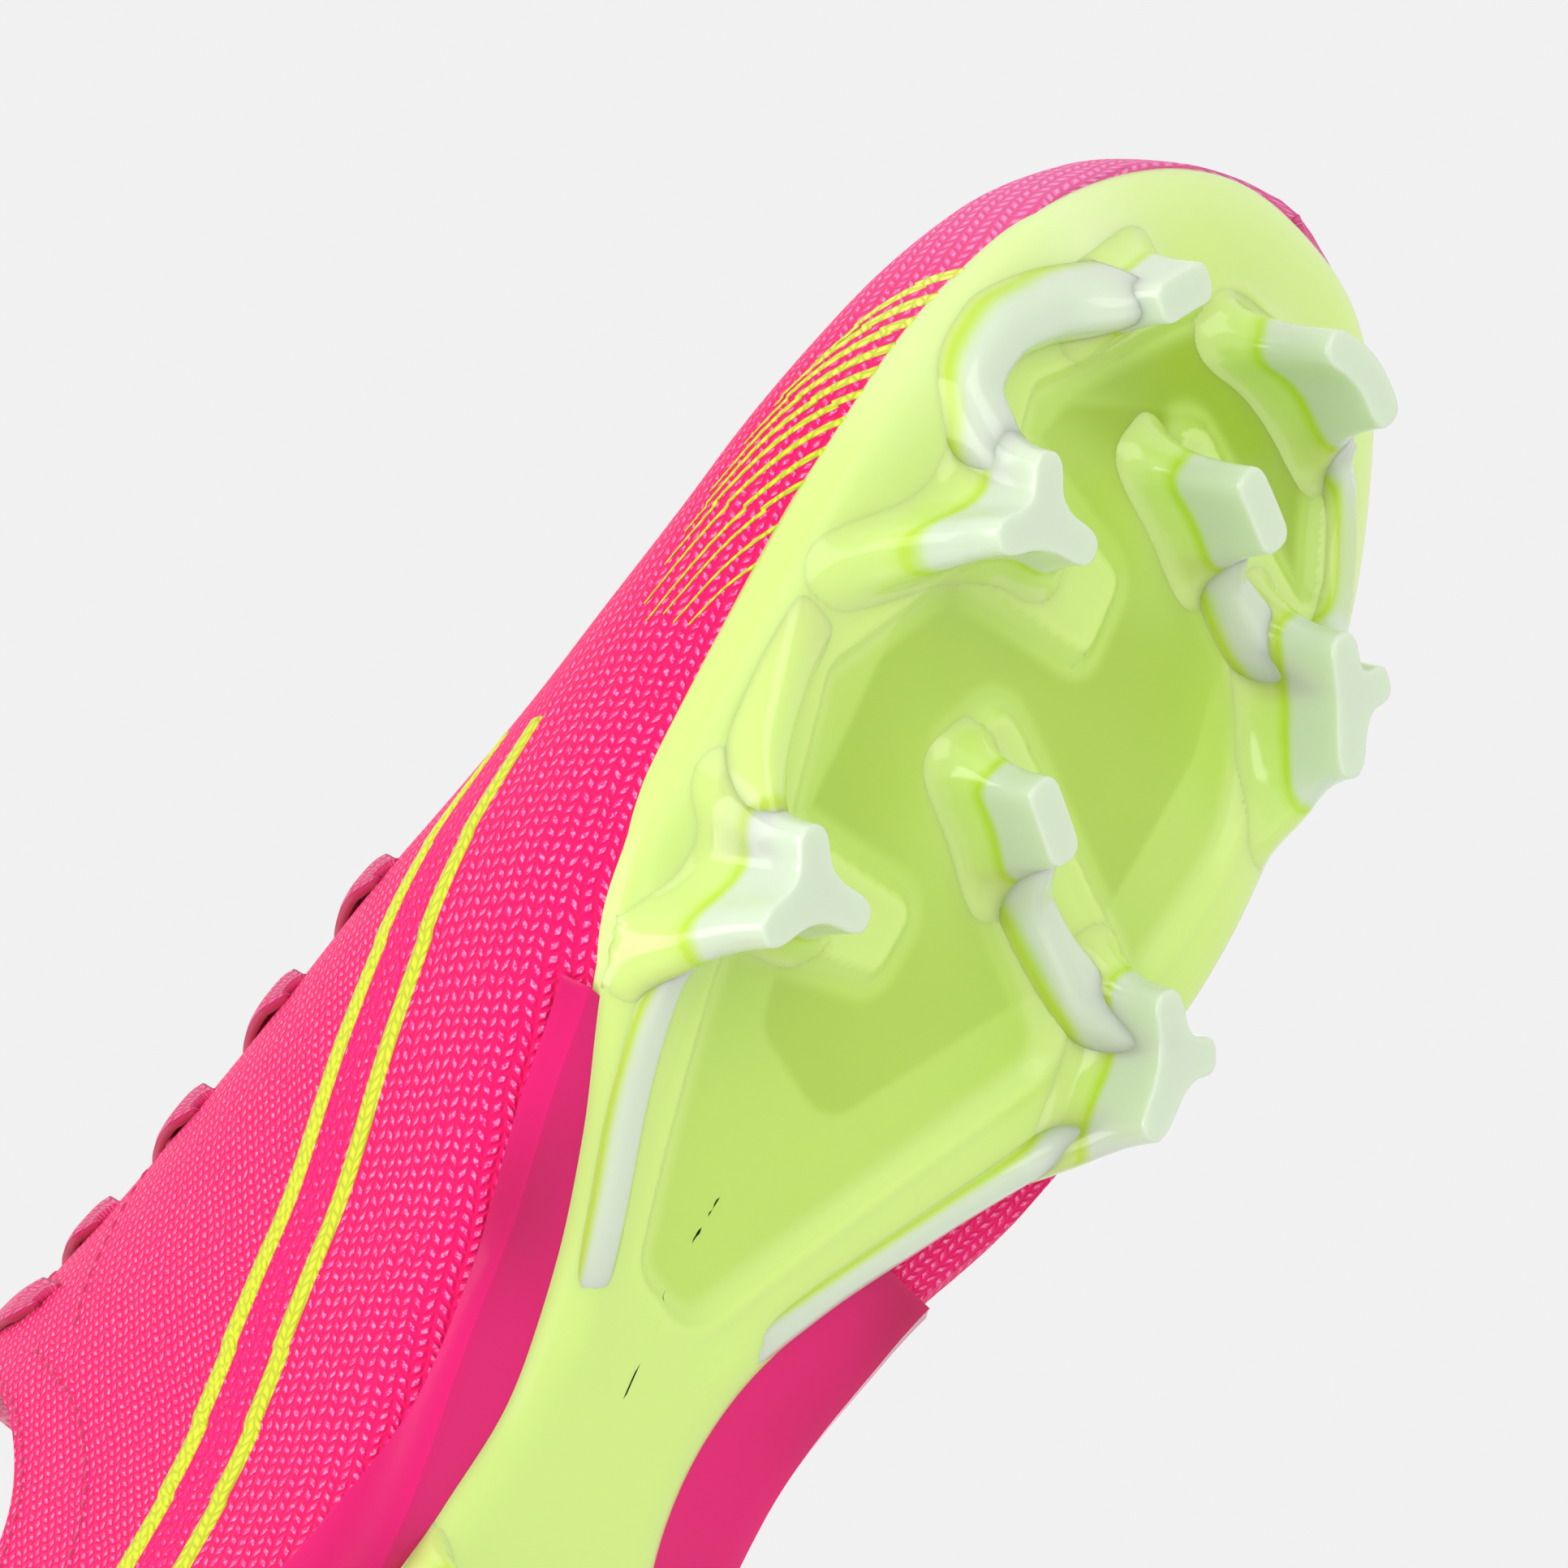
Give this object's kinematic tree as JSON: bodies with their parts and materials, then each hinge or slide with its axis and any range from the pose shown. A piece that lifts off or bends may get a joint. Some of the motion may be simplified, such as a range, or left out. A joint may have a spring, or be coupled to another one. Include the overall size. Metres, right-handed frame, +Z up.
{
  "type": "soccer cleat",
  "caption": "Low-cut firm-ground soccer cleat for the right foot: knitted upper, moulded cage, sprung plate with overmoulded tri-star and blade studs.",
  "frame": {"origin": "centre of the boot's footprint on the ground, under the arch", "axes": "+X towards the toe, +Y towards the medial side, +Z up from the ground the studs stand on"},
  "size_m": [0.2875, 0.0947, 0.1216],
  "materials": {
    "plate": "gloss",
    "stud_cap": "gloss",
    "air_film": "satin",
    "board": "matte",
    "insole_cloth": "matte",
    "knit": "matte",
    "stiffener": "matte",
    "lining": "matte",
    "cage": "gloss",
    "lace": "matte"
  },
  "bodies": {
    "boot": {"outsole_plate": "plate", "stud_cap_toe_front_lateral": "stud_cap", "stud_cap_toe_medial": "stud_cap", "stud_cap_front_medial": "stud_cap", "stud_cap_mid_lateral": "stud_cap", "stud_cap_mid_medial": "stud_cap", "stud_cap_heel_lateral_front": "stud_cap", "stud_cap_heel_lateral_rear": "stud_cap", "stud_cap_heel_medial_front": "stud_cap", "stud_cap_heel_medial_rear": "stud_cap", "air_unit": "air_film", "strobel_board": "board", "upper_knit": "knit", "toe_puff": "stiffener", "heel_counter": "stiffener", "heel_lining": "lining", "collar_padding": "lining", "side_cage": "cage", "eyestay_lateral": "knit", "eyestay_medial": "knit", "lace": "lace"},
    "tongue": {"tongue": "knit"},
    "insole": {"insole": "insole_cloth"}
  },
  "joints": [
    {"name": "tongue_fold", "type": "hinge", "parent": "boot", "child": "tongue", "pos_m": [0.02, 0, 0.07], "axis": [0, -1, 0], "range_deg": [0, 8]},
    {"name": "insole_lift", "type": "hinge", "parent": "boot", "child": "insole", "pos_m": [0.1345, 0, 0.027], "axis": [0, 1, 0], "range_deg": [0, 3]}
  ]
}
